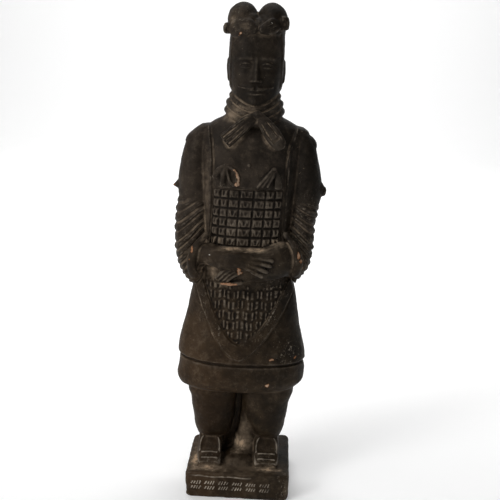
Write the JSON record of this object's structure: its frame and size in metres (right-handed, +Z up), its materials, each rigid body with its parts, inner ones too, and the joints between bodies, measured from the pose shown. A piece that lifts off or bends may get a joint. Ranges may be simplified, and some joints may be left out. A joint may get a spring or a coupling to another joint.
{
  "type": "warrior statue",
  "caption": "Standing clay warrior on a plinth, cast in one piece, with lobed cap, scarf, plated vest, folded sleeves and crossed hands.",
  "frame": {"origin": "middle of the plinth's underside, on the ground", "axes": "+Z up through the figure, -Y the way the figure faces, +X to the figure's left hand side, which is the right of the picture"},
  "size_m": [0.0774, 0.0516, 0.2494],
  "materials": {
    "fired_clay": "matt, dark, dusty in the hollows"
  },
  "bodies": {
    "root": {"warrior_statue": "fired_clay"}
  },
  "joints": []
}
